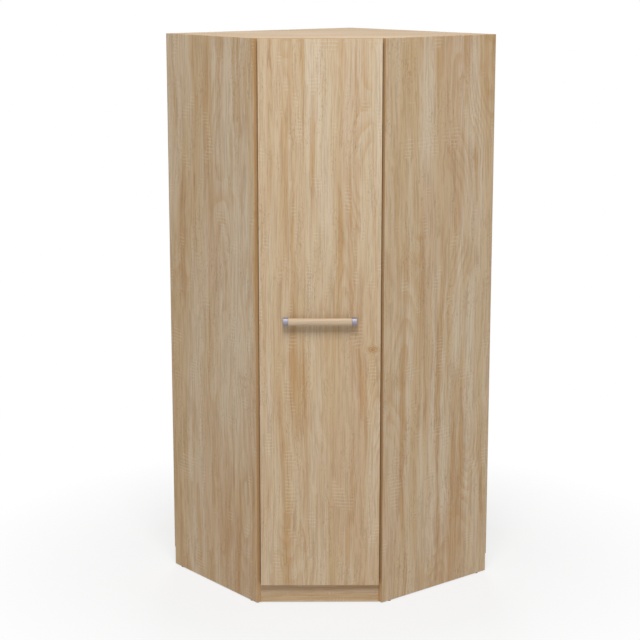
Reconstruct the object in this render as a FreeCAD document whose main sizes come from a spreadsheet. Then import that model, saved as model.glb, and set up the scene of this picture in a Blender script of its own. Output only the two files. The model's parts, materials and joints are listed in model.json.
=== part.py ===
"""Corner wardrobe: a five-cornered carcass in a room's corner, with one door across its angled front.

Lengths are millimetres, angles degrees. +Z is up, the door faces -Y, and the origin lies on the floor
in the middle of the wardrobe's box.

Two frames place the pieces. The corner frame has its origin in the room's corner, x along the left wall
and y along the right wall. The front frame has its origin on the floor at the outer front corner of the
left side panel, x along the front to the right and y into the wardrobe.
"""
import FreeCAD, Part
import math
import os
import Sketcher

SIZES = {
    # carcass boards
    "left_wall_length": 867,
    "right_wall_length": 800,
    "side_depth": 520,
    "overall_height": 2005,
    "board": 16,
    "back_sheet": 3,
    "front_setback": 13,
    "plinth_setback": 10,
    "plinth_height": 70,
    "hat_space_height": 313,
    "shelf_setback": 50,
    "post_width": 100,
    # door panel
    "door_thickness": 16,
    "door_gap": 5,
    "door_side_gap": 1,
    "door_top_gap": 1.5,
    "door_bottom_gap": 2,
    "door_edge_radius": 1.2,
    # handle
    "handle_length": 256,
    "handle_height": 24,
    "handle_projection": 30,
    "handle_bar_depth": 13,
    "handle_bow": 5,
    "handle_post_width": 18,
    "handle_screw_grip": 12,
    "handle_screw_radius": 2,
    "handle_screw_head_radius": 4,
    "handle_screw_head_height": 2.4,
    # hinge cup and pin
    "hinge_end_distance": 100,
    "cup_edge_distance": 20.5,
    "cup_radius": 17.5,
    "cup_depth": 11.5,
    "cup_wall": 1.2,
    "cup_floor": 1,
    "cup_fit": 0.1,
    "flange_radius": 19,
    "flange_thickness": 1.2,
    "ear_spacing": 45,
    "ear_offset": 9.5,
    "ear_width": 10,
    "pin_edge_distance": 9,
    "pin_depth": 7.5,
    "pin_radius": 1.5,
    "pin_length": 23,
    "running_clearance": 0.05,
    # hinge arm and mounting plate
    "eye_radius": 2.6,
    "arm_width": 11,
    "arm_sheet": 2.4,
    "arm_bar": 8,
    "neck_reach": 13.2,
    "neck_rise": 19,
    "plate_setback": 37,
    "saddle_length": 36,
    "saddle_width": 11,
    "wing_length": 48,
    "wing_width": 14,
    "wing_thickness": 2.5,
    "plate_screw_spacing": 32,
    "plate_screw_radius": 2.5,
    "plate_screw_length": 13,
    "plate_screw_head_radius": 4,
    "plate_screw_head_height": 1.8,
    "arm_screw_radius": 2,
    "arm_screw_length": 14,
    "arm_screw_head_radius": 3.6,
    "arm_screw_head_height": 1.6,
    # small screws of the cups, rail brackets and wall angles
    "small_screw_radius": 1.75,
    "small_screw_length": 12,
    "small_screw_head_radius": 3.4,
    "small_screw_head_height": 1.6,
    "screw_fit": 0.05,
    "bore_slack": 0.5,
    # soft door buffers
    "buffer_radius": 4,
    "buffer_inset": 25,
    "buffer_gap": 0.3,
    # board connectors and dowels
    "connector_back": 80,
    "connector_front_inset": 110,
    "cam_distance": 34,
    "cam_radius": 7.4,
    "cam_height": 12.5,
    "cam_fit": 0.1,
    "cam_mouth_radius": 3.7,
    "cam_slot_length": 9,
    "cam_slot_width": 1.6,
    "cam_slot_depth": 2,
    "bolt_thread_radius": 2.5,
    "bolt_thread_length": 11,
    "bolt_shank_radius": 3,
    "bolt_neck_radius": 2,
    "bolt_head_radius": 3.4,
    "bolt_head_length": 3,
    "bolt_neck_length": 5,
    "bolt_bore_radius": 4,
    "dowel_radius": 4,
    "dowel_length": 30,
    "dowel_side_depth": 10,
    "dowel_chamfer": 1,
    # nails of the back sheets
    "nail_radius": 0.7,
    "nail_length": 16,
    "nail_head_radius": 1.6,
    "nail_head_height": 0.6,
    # floor glides
    "glide_height": 3,
    "glide_radius": 7,
    "glide_pin_radius": 1,
    "glide_pin_length": 10,
    "glide_inset": 40,
    # plinth blocks
    "block_length": 44,
    "block_size": 20,
    "block_screw_radius": 2,
    "block_screw_length": 30,
    "block_screw_head_radius": 4,
    "block_screw_head_height": 1.6,
    # hanging rail
    "rail_length": 540,
    "rail_height": 30,
    "rail_width": 15,
    "rail_wall": 1.2,
    "rail_depth": 400,
    "rail_drop": 60,
    "rail_fit": 0.1,
    "rail_cap_thickness": 3,
    "rail_cap_plug": 10,
    "bracket_spacing": 380,
    "bracket_width": 14,
    "bracket_plate_length": 56,
    "bracket_plate_thickness": 3,
    "bracket_rim": 3,
    "bracket_screw_inset": 8,
    # wall angles
    "angle_leg": 40,
    "angle_width": 20,
    "angle_thickness": 2,
    "angle_inset": 120,
    "angle_screw_distance": 26,
    "wall_hole_radius": 2.75,
    "wall_hole_drop": 25,
    # how far a cutting tool runs past the face it enters
    "overrun": 1,
}

CORNER = "corner"
FRONT = "front"
HINGES = 4
NAIL_ROWS = 8
NAIL_COLUMNS = 3
BLOCK_SHARES = (0.25, 0.75)
SAME_PLACE = 0.001

doc = FreeCAD.newDocument("corner_wardrobe")
nodes = []


def fill_sheet():
    """Write every driving size into the sheet, one aliased cell each."""
    sheet = doc.addObject("Spreadsheet::Sheet", "sizes")
    for row, (alias, value) in enumerate(SIZES.items(), start=1):
        sheet.set(f"A{row}", alias)
        sheet.set(f"B{row}", str(value))
        sheet.setAlias(f"B{row}", alias)
    doc.recompute()


def derive_plan():
    """Work out the plan's angles and lines from the driving sizes."""
    plan = doc.addObject("App::VarSet", "plan")
    formulas = {
        "run_left": "sizes.left_wall_length - sizes.side_depth",
        "run_right": "sizes.right_wall_length - sizes.side_depth",
        "front_width": "sqrt(run_left ^ 2 + run_right ^ 2)",
        "cos_front": "run_left / front_width",
        "sin_front": "run_right / front_width",
        "corner_turn": "180 + atan2(run_right; run_left) / 1deg",
        "left_inner": "sizes.left_wall_length - sizes.board",
        "right_inner": "sizes.right_wall_length - sizes.board",
        "front_distance": "sizes.left_wall_length * sin_front + sizes.side_depth * cos_front",
        "door_back": "sizes.front_setback - sizes.door_gap",
        "door_front": "door_back - sizes.door_thickness",
        "door_left": "sizes.board * cos_front + sizes.door_side_gap",
        "door_right": "front_width - sizes.board * sin_front - sizes.door_side_gap",
        "door_bottom": "sizes.plinth_height + sizes.door_bottom_gap",
        "door_top": "sizes.overall_height - sizes.door_top_gap",
        "corner_x": "(sizes.left_wall_length * cos_front - sizes.right_wall_length * sin_front) / 2",
        "corner_y": "(front_distance - door_front + sizes.handle_projection) / 2",
        "front_x": "corner_x - sizes.left_wall_length * cos_front + sizes.side_depth * sin_front",
        "front_y": "corner_y - front_distance",
        "hinge_x": "door_left + sizes.pin_edge_distance",
        "hinge_y": "door_back - sizes.pin_depth",
        "neck_x": "hinge_x + sizes.neck_reach - sizes.board * cos_front",
        "neck_y": "hinge_y + sizes.neck_rise - sizes.board * sin_front",
        "plate_height": "neck_x * cos_front + neck_y * sin_front - sizes.arm_bar",
        "saddle_end": "sizes.plate_setback + sizes.saddle_length / 2",
        "arm_length": "saddle_end + neck_x * sin_front - neck_y * cos_front",
        "handle_x": "(door_left + door_right) / 2",
        "handle_z": "(door_bottom + door_top) / 2",
        "handle_y": "door_front - sizes.handle_projection",
        "bow_radius": "(sizes.handle_height ^ 2 / 4 + sizes.handle_bow ^ 2) / (2 * sizes.handle_bow)",
        "handle_screw_length": "sizes.door_thickness + sizes.handle_screw_grip",
        "top_underside": "sizes.overall_height - sizes.board",
        "shelf_underside": "top_underside - sizes.hat_space_height - sizes.board",
        "rail_z": "shelf_underside - sizes.rail_drop",
    }
    for name, formula in formulas.items():
        plan.addProperty("App::PropertyFloat", name)
        plan.setExpression(name, formula)
    doc.recompute()


def bind(piece, **formulas):
    """Tie the named properties of a piece to formulas."""
    for name, formula in formulas.items():
        piece.setExpression(name, formula)
    return piece


def place(piece, x="0", y="0", z="0", turn="0"):
    """Put a piece at x, y, z, turned about the upright axis."""
    piece.Placement = FreeCAD.Placement(FreeCAD.Vector(), FreeCAD.Rotation(FreeCAD.Vector(0, 0, 1), 1))
    for axis, formula in zip("xyz", (x, y, z)):
        piece.setExpression("Placement.Base." + axis, formula)
    piece.setExpression("Placement.Rotation.Angle", turn)
    return piece


def stand(piece, frame, x="0", y="0", z="0", turn="0"):
    """Put a piece at x, y, z of the corner frame or the front frame."""
    if frame == FRONT:
        return place(piece, f"plan.front_x + {x}", f"plan.front_y + {y}", z, turn)
    row_x = f"plan.corner_x - ({x}) * plan.cos_front + ({y}) * plan.sin_front"
    row_y = f"plan.corner_y - ({x}) * plan.sin_front - ({y}) * plan.cos_front"
    return place(piece, row_x, row_y, z, f"plan.corner_turn + {turn}")


def outline(body, points, plane):
    """A closed outline of straight lines, each point tied to its two formulas."""
    sketch = body.newObject("Sketcher::SketchObject", body.Name + "_outline")
    support = [plane_object for plane_object in body.Origin.OriginFeatures if plane_object.Role == plane]
    sketch.AttachmentSupport = [(support[0], "")]
    sketch.MapMode = "FlatFace"
    angles = [2 * math.pi * index / len(points) for index in range(len(points))]
    ring = [FreeCAD.Vector(math.cos(angle), math.sin(angle), 0) for angle in angles]
    for start, end in zip(ring, ring[1:] + ring[:1]):
        sketch.addGeometry(Part.LineSegment(start, end), False)
    for index in range(len(points)):
        follower = (index + 1) % len(points)
        sketch.addConstraint(Sketcher.Constraint("Coincident", index, 2, follower, 1))
    for index, (across, along) in enumerate(points):
        spot = ring[index]
        for kind, start, formula in (("DistanceX", spot.x, across), ("DistanceY", spot.y, along)):
            number = sketch.addConstraint(Sketcher.Constraint(kind, index, 1, start))
            sketch.setExpression(f"Constraints[{number}]", formula)
    return sketch


def prism(name, points, height):
    """A body with the given outline on its floor plane, padded upwards."""
    body = doc.addObject("PartDesign::Body", name)
    sketch = outline(body, points, "XY_Plane")
    pad = body.newObject("PartDesign::Pad", name + "_pad")
    pad.Profile = sketch
    bind(pad, Length=height)
    return body


def turned(name, profile, upright=False):
    """A turned body: profile points are (along the axis, radius), and the axis is x, or z if upright."""
    body = doc.addObject("PartDesign::Body", name)
    if upright:
        sketch = outline(body, [(radius, along) for along, radius in profile], "XZ_Plane")
    else:
        sketch = outline(body, profile, "XY_Plane")
    revolution = body.newObject("PartDesign::Revolution", name + "_turn")
    revolution.Profile = sketch
    revolution.ReferenceAxis = (sketch, ["V_Axis" if upright else "H_Axis"])
    revolution.Angle = 360
    return body


def box(name, start, size):
    """A block from its lowest corner and its three lengths."""
    block = doc.addObject("Part::Box", name)
    bind(block, Length=size[0], Width=size[1], Height=size[2])
    return place(block, *start)


def rod(name, radius, length, start, axis="z"):
    """A round bar along x, y or z from its start point."""
    bar = doc.addObject("Part::Cylinder", name)
    bind(bar, Radius=radius, Height=length)
    tilts = {"x": ((0, 1, 0), 90), "y": ((1, 0, 0), -90), "z": ((0, 0, 1), 0)}
    direction, angle = tilts[axis]
    bar.Placement = FreeCAD.Placement(FreeCAD.Vector(), FreeCAD.Rotation(FreeCAD.Vector(*direction), angle))
    for coordinate, formula in zip("xyz", start):
        bar.setExpression("Placement.Base." + coordinate, formula)
    return bar


def fuse(name, pieces):
    """Join pieces into one solid."""
    joined = doc.addObject("Part::MultiFuse", name)
    joined.Shapes = pieces
    joined.Refine = True
    return joined


def common(name, pieces):
    """Keep what all pieces share."""
    shared = doc.addObject("Part::MultiCommon", name)
    shared.Shapes = pieces
    return shared


def cut(name, base, tools):
    """Take the tools away from the base."""
    tool = doc.addObject("Part::Compound", name + "_tools")
    tool.Links = tools
    result = doc.addObject("Part::Cut", name)
    result.Base = base
    result.Tool = tool
    return result


def node(piece):
    """List a finished piece for writing."""
    piece.Label = piece.Name
    nodes.append(piece)
    return piece


def copies(name, master, frame, spots):
    """A group of equal pieces: the master linked at each spot (x, y, z, turn) of a frame."""
    links = []
    for index, spot in enumerate(spots):
        link = doc.addObject("App::Link", f"{name}_{index}")
        link.LinkedObject = master
        link.LinkTransform = True
        links.append(stand(link, frame, *spot))
    group = doc.addObject("Part::Compound", name)
    group.Links = links
    return group


def screw(kind, upright=False, length=None):
    """A screw that points along its axis, with the underside of its head at zero."""
    head = f"0 - sizes.{kind}_head_height"
    end = length or f"sizes.{kind}_length"
    shank = f"sizes.{kind}_radius"
    cap = f"sizes.{kind}_head_radius"
    profile = [(head, "0"), (head, cap), ("0", cap), ("0", shank), (end, shank), (end, "0")]
    return turned(kind + ("_upright" if upright else "_lying"), profile, upright)


def screw_bore(kind, upright=False, length=None):
    """The bore for that screw, started ahead of its head and a little deeper than its tip."""
    end = f"{length or f'sizes.{kind}_length'} + sizes.bore_slack"
    radius = f"sizes.{kind}_radius + sizes.screw_fit"
    start = "0 - sizes.overrun"
    profile = [(start, "0"), (start, radius), (end, radius), (end, "0")]
    return turned(kind + ("_upright_bore" if upright else "_lying_bore"), profile, upright)


def front_edge(setback):
    """The two ends of a front edge that lies behind the side panels' outer front corners."""
    left_y = f"sizes.side_depth + (sizes.board * plan.sin_front - ({setback})) / plan.cos_front"
    right_x = f"sizes.side_depth + (sizes.board * plan.cos_front - ({setback})) / plan.sin_front"
    return [("plan.left_inner", left_y), (right_x, "plan.right_inner")]


def rectangle(x_start, y_start, x_end, y_end):
    """The four corners of an upright board or sheet in plan."""
    return [(x_start, y_start), (x_end, y_start), (x_end, y_end), (x_start, y_end)]


def five_corners(setback, notched):
    """A horizontal board's outline, cut out round the rear corner post where it is notched."""
    back = "sizes.back_sheet"
    rear = [(back, back)]
    if notched:
        post_front = "sizes.back_sheet + sizes.board"
        post_end = "sizes.back_sheet + sizes.post_width"
        rear = [(back, post_front), (post_end, post_front), (post_end, back)]
    return rear + [("plan.left_inner", back)] + front_edge(setback) + [(back, "plan.right_inner")]


def carcass_board(name, points, bottom, height):
    """An upright or flat board of the carcass, standing in the corner frame."""
    return stand(prism(name, points, height), CORNER, z=bottom)


def carcass_boards():
    """Every board and sheet of the carcass before drilling, by name."""
    side_height = "sizes.overall_height - sizes.glide_height"
    sheet_height = "sizes.overall_height - sizes.plinth_height"
    back = "sizes.back_sheet"
    left = rectangle("plan.left_inner", back, "sizes.left_wall_length", "sizes.side_depth")
    right = rectangle(back, "plan.right_inner", "sizes.side_depth", "sizes.right_wall_length")
    post = rectangle(back, back, "sizes.back_sheet + sizes.post_width", "sizes.back_sheet + sizes.board")
    plinth = front_edge("sizes.plinth_setback") + front_edge("sizes.plinth_setback + sizes.board")[::-1]
    left_sheet = rectangle("0", "0", "sizes.left_wall_length", back)
    right_sheet = rectangle("0", back, back, "sizes.right_wall_length")
    table = {
        "left_side_panel": (left, "sizes.glide_height", side_height),
        "right_side_panel": (right, "sizes.glide_height", side_height),
        "top_panel": (five_corners("sizes.front_setback", False), "plan.top_underside", "sizes.board"),
        "bottom_panel": (five_corners("sizes.front_setback", True), "sizes.plinth_height", "sizes.board"),
        "hat_shelf": (five_corners("sizes.shelf_setback", True), "plan.shelf_underside", "sizes.board"),
        "plinth_board": (plinth, "sizes.glide_height", "sizes.plinth_height - sizes.glide_height"),
        "rear_corner_post": (post, "sizes.glide_height", "plan.top_underside - sizes.glide_height"),
        "left_back_panel": (left_sheet, "sizes.plinth_height", sheet_height),
        "right_back_panel": (right_sheet, "sizes.plinth_height", sheet_height),
    }
    return {name: carcass_board(name + "_blank", *values) for name, values in table.items()}


def joint_spots(places):
    """Where the flat boards meet both sides: the board's mid height at each distance from the wall."""
    spots = []
    for underside in ("sizes.plinth_height", "plan.shelf_underside", "plan.top_underside"):
        middle = f"{underside} + sizes.board / 2"
        for distance in places:
            spots.append(("plan.left_inner", distance, middle, "0"))
            spots.append((distance, "plan.right_inner", middle, "90"))
    return spots


def cam_housing():
    """A cam housing with its mouth for the bolt's head and a slot for turning it."""
    centre = "0 - sizes.cam_distance"
    under = "0 - sizes.board / 2"
    barrel = rod("cam_barrel", "sizes.cam_radius", "sizes.cam_height", (centre, "0", under))
    mouth_start = f"{centre} - sizes.bolt_head_radius"
    mouth = rod("cam_mouth", "sizes.cam_mouth_radius", "sizes.cam_distance", (mouth_start, "0", "0"), "x")
    slot_start = (f"{centre} - sizes.cam_slot_length / 2", "0 - sizes.cam_slot_width / 2",
                  f"{under} - sizes.overrun")
    slot_size = ("sizes.cam_slot_length", "sizes.cam_slot_width", "sizes.cam_slot_depth + sizes.overrun")
    return cut("cam_housing", barrel, [mouth, box("cam_slot", slot_start, slot_size)])


def cam_bolt():
    """A connector bolt: thread in the side panel, shank in the flat board, head in the cam."""
    end = "0 - sizes.cam_distance"
    head = f"{end} + sizes.bolt_head_length"
    neck = f"{head} + sizes.bolt_neck_length"
    thread = "sizes.bolt_thread_length"
    profile = [
        (end, "0"), (end, "sizes.bolt_head_radius"), (head, "sizes.bolt_head_radius"),
        (head, "sizes.bolt_neck_radius"), (neck, "sizes.bolt_neck_radius"),
        (neck, "sizes.bolt_shank_radius"), ("0", "sizes.bolt_shank_radius"),
        ("0", "sizes.bolt_thread_radius"), (thread, "sizes.bolt_thread_radius"), (thread, "0"),
    ]
    return turned("cam_bolt", profile)


def connector_bore():
    """The bores for one connector: cam, bolt and thread."""
    centre = "0 - sizes.cam_distance"
    wide = "sizes.bolt_bore_radius"
    narrow = "sizes.bolt_thread_radius + sizes.screw_fit"
    end = "sizes.bolt_thread_length + sizes.bore_slack"
    profile = [(centre, "0"), (centre, wide), ("0", wide), ("0", narrow), (end, narrow), (end, "0")]
    well_start = (centre, "0", "0 - sizes.board / 2 - sizes.overrun")
    well = rod("cam_well", "sizes.cam_radius + sizes.cam_fit", "sizes.cam_height + sizes.overrun", well_start)
    return fuse("connector_bore", [turned("bolt_bore", profile), well])


def dowel():
    """A wooden dowel with chamfered ends, across the joint of a flat board and a side."""
    start = "sizes.dowel_side_depth - sizes.dowel_length"
    end = "sizes.dowel_side_depth"
    small = "sizes.dowel_radius - sizes.dowel_chamfer"
    profile = [
        (start, "0"), (start, small), (f"{start} + sizes.dowel_chamfer", "sizes.dowel_radius"),
        (f"{end} - sizes.dowel_chamfer", "sizes.dowel_radius"), (end, small), (end, "0"),
    ]
    return turned("wooden_dowel", profile)


def dowel_bore():
    """The bore for one dowel in both boards."""
    start = "sizes.dowel_side_depth - sizes.dowel_length - sizes.bore_slack"
    end = "sizes.dowel_side_depth + sizes.bore_slack"
    radius = "sizes.dowel_radius + sizes.screw_fit"
    return turned("dowel_bore", [(start, "0"), (start, radius), (end, radius), (end, "0")])


def board_connectors():
    """Connectors and dowels of the flat boards, and the bores that they need."""
    back = "sizes.connector_back"
    front = "(sizes.side_depth - sizes.connector_front_inset)"
    cams = joint_spots((back, front))
    dowels = joint_spots((f"({back} + {front}) / 2",))
    node(copies("cam_housings", cam_housing(), CORNER, cams))
    node(copies("cam_bolts", cam_bolt(), CORNER, cams))
    node(copies("wooden_dowels", dowel(), CORNER, dowels))
    return [copies("connector_bores", connector_bore(), CORNER, cams),
            copies("dowel_bores", dowel_bore(), CORNER, dowels)]


def nail_spots():
    """Nails along the sides' rear edges, the corner post and the flat boards' rear edges."""
    spots = []
    post_middle = "sizes.back_sheet + sizes.post_width / 2"
    post_edge = "sizes.back_sheet + sizes.board / 2"
    for row in range(NAIL_ROWS):
        share = (row + 0.5) / NAIL_ROWS
        z = f"sizes.plinth_height + (sizes.overall_height - sizes.plinth_height) * {share}"
        for x in (post_middle, "sizes.left_wall_length - sizes.board / 2"):
            spots.append((x, "0", z, "90"))
        for y in (post_edge, "sizes.right_wall_length - sizes.board / 2"):
            spots.append(("0", y, z, "0"))
    for underside in ("sizes.plinth_height", "plan.shelf_underside", "plan.top_underside"):
        for column in range(NAIL_COLUMNS):
            share = (column + 1) / (NAIL_COLUMNS + 1)
            z = f"{underside} + sizes.board / 2"
            spots.append((f"sizes.left_wall_length * {share}", "0", z, "90"))
            spots.append(("0", f"sizes.right_wall_length * {share}", z, "0"))
    return spots


def nail_shape(name, clearance):
    """A nail with its head flush in the sheet, or its bore where a clearance is given."""
    shank = f"sizes.nail_radius + {clearance}"
    cap = f"sizes.nail_head_radius + {clearance}"
    end = f"sizes.nail_length + {clearance}"
    head = "sizes.nail_head_height"
    return turned(name, [("0", "0"), ("0", cap), (head, cap), (head, shank), (end, shank), (end, "0")])


def back_nails():
    """The nails of both back sheets and their bores."""
    spots = nail_spots()
    node(copies("back_panel_nails", nail_shape("nail", "0"), CORNER, spots))
    return copies("nail_bores", nail_shape("nail_bore", "sizes.screw_fit"), CORNER, spots)


def floor_glides():
    """Glides under the sides and the post, and the bores for their pins."""
    front = "sizes.side_depth - sizes.glide_inset"
    back = "sizes.back_sheet + sizes.glide_inset"
    left = "sizes.left_wall_length - sizes.board / 2"
    right = "sizes.right_wall_length - sizes.board / 2"
    post = ("sizes.back_sheet + sizes.post_width / 2", "sizes.back_sheet + sizes.board / 2")
    spots = [(left, back), (left, front), (back, right), (front, right), post]
    top = "sizes.glide_height + sizes.glide_pin_length"
    profile = [
        ("0", "0"), ("0", "sizes.glide_radius"), ("sizes.glide_height", "sizes.glide_radius"),
        ("sizes.glide_height", "sizes.glide_pin_radius"), (top, "sizes.glide_pin_radius"), (top, "0"),
    ]
    node(copies("floor_glides", turned("glide", profile, True), CORNER, spots))
    radius = "sizes.glide_pin_radius + sizes.screw_fit"
    length = "sizes.glide_height + sizes.glide_pin_length + sizes.bore_slack"
    return copies("glide_bores", rod("glide_bore", radius, length, ("0", "0", "0")), CORNER, spots)


def plinth_blocks():
    """Blocks that hold the plinth to the bottom panel, with their screws and bores."""
    back = "sizes.plinth_setback + sizes.board"
    under = "sizes.plinth_height - sizes.block_size"
    centres = [f"plan.front_width * {share}" for share in BLOCK_SHARES]
    shape = box("plinth_block", ("0 - sizes.block_length / 2", "0", "0"),
                ("sizes.block_length", "sizes.block_size", "sizes.block_size"))
    rises = [(f"{x} - sizes.block_length / 4", f"{back} + sizes.block_size / 2", under) for x in centres]
    pushes = [(f"{x} + sizes.block_length / 4", f"{back} + sizes.block_size",
               f"{under} + sizes.block_size / 2", "0 - 90") for x in centres]
    screws = [copies("block_screws_up", screw("block_screw", True), FRONT, rises),
              copies("block_screws_forward", screw("block_screw"), FRONT, pushes)]
    group = doc.addObject("Part::Compound", "plinth_block_screws")
    group.Links = screws
    node(group)
    bores = [copies("block_bores_up", screw_bore("block_screw", True), FRONT, rises),
             copies("block_bores_forward", screw_bore("block_screw"), FRONT, pushes)]
    blanks = copies("plinth_blocks_blank", shape, FRONT, [(x, back, under) for x in centres])
    node(cut("plinth_blocks", blanks, bores))
    return bores


def wall_angles():
    """Angles under the top that fasten the wardrobe to both walls, with their screws and bores."""
    leg = "sizes.angle_leg"
    thick = "sizes.angle_thickness"
    start = "0 - sizes.angle_width / 2"
    flat = box("angle_flat", (start, "0", f"0 - {thick}"), ("sizes.angle_width", leg, thick))
    upright = box("angle_upright", (start, "0", f"0 - {leg}"), ("sizes.angle_width", thick, leg))
    left = "plan.left_inner - sizes.angle_inset"
    right = "plan.right_inner - sizes.angle_inset"
    back = "sizes.back_sheet"
    blank = copies("wall_angles_blank", fuse("wall_angle", [flat, upright]), CORNER,
                   [(left, back, "plan.top_underside"), (back, right, "plan.top_underside", "0 - 90")])
    seat = "plan.top_underside - sizes.angle_thickness"
    out = "sizes.back_sheet + sizes.angle_screw_distance"
    spots = [(left, out, seat), (out, right, seat)]
    node(copies("wall_angle_screws", doc.small_screw_upright, CORNER, spots))
    screw_bores = copies("angle_screw_bores", doc.small_screw_upright_bore, CORNER, spots)
    height = "plan.top_underside - sizes.wall_hole_drop"
    length = "sizes.back_sheet + sizes.angle_thickness + 2 * sizes.overrun"
    hole = rod("wall_hole", "sizes.wall_hole_radius", length, ("0 - sizes.overrun", "0", "0"), "x")
    wall_holes = copies("wall_holes", hole, CORNER, [(left, "0", height, "90"), ("0", right, height)])
    node(cut("wall_angles", blank, [screw_bores, wall_holes]))
    return screw_bores, wall_holes


def oval(name, length, height, width, start):
    """An oval bar along x about its own axis."""
    straight = f"({height} - {width})"
    core_start = (start, f"0 - ({width}) / 2", f"0 - {straight} / 2")
    core = box(name + "_core", core_start, (length, width, straight))
    upper = rod(name + "_upper", f"({width}) / 2", length, (start, "0", f"{straight} / 2"), "x")
    lower = rod(name + "_lower", f"({width}) / 2", length, (start, "0", f"0 - {straight} / 2"), "x")
    return fuse(name, [core, upper, lower])


def hanging_rail():
    """The oval rail with its end caps, hung from two brackets screwed under the shelf."""
    middle = "plan.front_width / 2"
    height, width = "sizes.rail_height", "sizes.rail_width"
    start = "0 - sizes.rail_length / 2"
    inner = [f"({size} - 2 * sizes.rail_wall)" for size in (height, width)]
    plug = [f"({size} - 2 * sizes.rail_fit)" for size in inner]
    outside = oval("rail_outside", "sizes.rail_length", height, width, start)
    inside = oval("rail_inside", "sizes.rail_length + 2 * sizes.overrun", *inner, f"{start} - sizes.overrun")
    spot = (middle, "sizes.rail_depth", "plan.rail_z")
    node(stand(cut("hanging_rail", outside, [inside]), FRONT, *spot))
    face = oval("rail_cap_face", "sizes.rail_cap_thickness", height, width, "0 - sizes.rail_cap_thickness")
    tongue = oval("rail_cap_tongue", "sizes.rail_cap_plug", *plug, "0")
    ends = [(f"{middle} - sizes.rail_length / 2", *spot[1:]),
            (f"{middle} + sizes.rail_length / 2", *spot[1:], "180")]
    node(copies("rail_end_caps", fuse("rail_cap", [face, tongue]), FRONT, ends))


def rail_brackets():
    """The brackets of the rail, their screws and the screws' bores."""
    thick = "sizes.bracket_plate_thickness"
    wide = "sizes.bracket_width"
    start = f"0 - {wide} / 2"
    rim = [f"({size} + 2 * sizes.bracket_rim)" for size in ("sizes.rail_height", "sizes.rail_width")]
    hole = [f"({size} + 2 * sizes.rail_fit)" for size in ("sizes.rail_height", "sizes.rail_width")]
    ring = oval("bracket_ring", wide, *rim, start)
    web_size = (wide, "sizes.rail_width", "sizes.rail_drop")
    web = box("bracket_web", (start, "0 - sizes.rail_width / 2", "0"), web_size)
    plate = box("bracket_plate", (start, "0 - sizes.bracket_plate_length / 2", f"sizes.rail_drop - {thick}"),
                (wide, "sizes.bracket_plate_length", thick))
    eye = oval("bracket_eye", f"{wide} + 2 * sizes.overrun", *hole, f"{start} - sizes.overrun")
    bracket = cut("rail_bracket", fuse("bracket_blank", [ring, web, plate]), [eye])
    reach = "(sizes.bracket_plate_length / 2 - sizes.bracket_screw_inset)"
    centres = [f"plan.front_width / 2 {sign} sizes.bracket_spacing / 2" for sign in "-+"]
    spots = [(x, "sizes.rail_depth", "plan.rail_z") for x in centres]
    seat = f"plan.shelf_underside - {thick}"
    holes = [(x, f"sizes.rail_depth {sign} {reach}", seat) for x in centres for sign in "-+"]
    bores = copies("bracket_screw_bores", doc.small_screw_upright_bore, FRONT, holes)
    node(copies("rail_bracket_screws", doc.small_screw_upright, FRONT, holes))
    node(cut("rail_brackets", copies("rail_brackets_blank", bracket, FRONT, spots), [bores]))
    return bores


def hinge_heights():
    """The heights of the hinges, evenly spread between the two end hinges."""
    low = "plan.door_bottom + sizes.hinge_end_distance"
    span = "(plan.door_top - plan.door_bottom - 2 * sizes.hinge_end_distance)"
    return [f"{low} + {span} * {index / (HINGES - 1)}" for index in range(HINGES)]


def hinge_arm():
    """A cranked arm: an eye on the pin, a neck out of the cup and a bar along the side panel."""
    neck_in = "sizes.neck_reach - sizes.arm_sheet"
    end_x = "sizes.neck_reach - plan.arm_length * plan.sin_front"
    end_y = "sizes.neck_rise + plan.arm_length * plan.cos_front"
    slide = "(sizes.arm_sheet - sizes.arm_bar * plan.cos_front) / plan.sin_front"
    points = [
        ("0", "0 - sizes.arm_sheet / 2"),
        ("sizes.neck_reach", "0 - sizes.arm_sheet / 2"),
        ("sizes.neck_reach", "sizes.neck_rise"),
        (end_x, end_y),
        (f"{end_x} - sizes.arm_bar * plan.cos_front", f"{end_y} - sizes.arm_bar * plan.sin_front"),
        (neck_in, f"sizes.neck_rise - sizes.arm_bar * plan.sin_front + {slide} * plan.cos_front"),
        (neck_in, "sizes.arm_sheet / 2"),
        ("0", "sizes.arm_sheet / 2"),
    ]
    strip = place(prism("arm_strip", points, "sizes.arm_width"), z="0 - sizes.arm_width / 2")
    low = ("0", "0", "0 - sizes.arm_width / 2")
    eye = rod("arm_eye", "sizes.eye_radius", "sizes.arm_width", low)
    hole_start = ("0", "0", "0 - sizes.arm_width / 2 - sizes.overrun")
    hole_radius = "sizes.pin_radius + sizes.running_clearance"
    hole = rod("arm_eye_hole", hole_radius, "sizes.arm_width + 2 * sizes.overrun", hole_start)
    return cut("hinge_arm", fuse("arm_blank", [strip, eye]), [hole])


def hinge_plate():
    """A mounting plate in corner coordinates: a saddle under the arm's bar and two screwed wings."""
    y = "sizes.side_depth - sizes.plate_setback"
    saddle = box("plate_saddle",
                 ("plan.left_inner - plan.plate_height", f"{y} - sizes.saddle_length / 2",
                  "0 - sizes.saddle_width / 2"),
                 ("plan.plate_height", "sizes.saddle_length", "sizes.saddle_width"))
    wings = box("plate_wings",
                ("plan.left_inner - sizes.wing_thickness", f"{y} - sizes.wing_width / 2",
                 "0 - sizes.wing_length / 2"),
                ("sizes.wing_thickness", "sizes.wing_width", "sizes.wing_length"))
    return fuse("hinge_plate", [saddle, wings])


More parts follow.
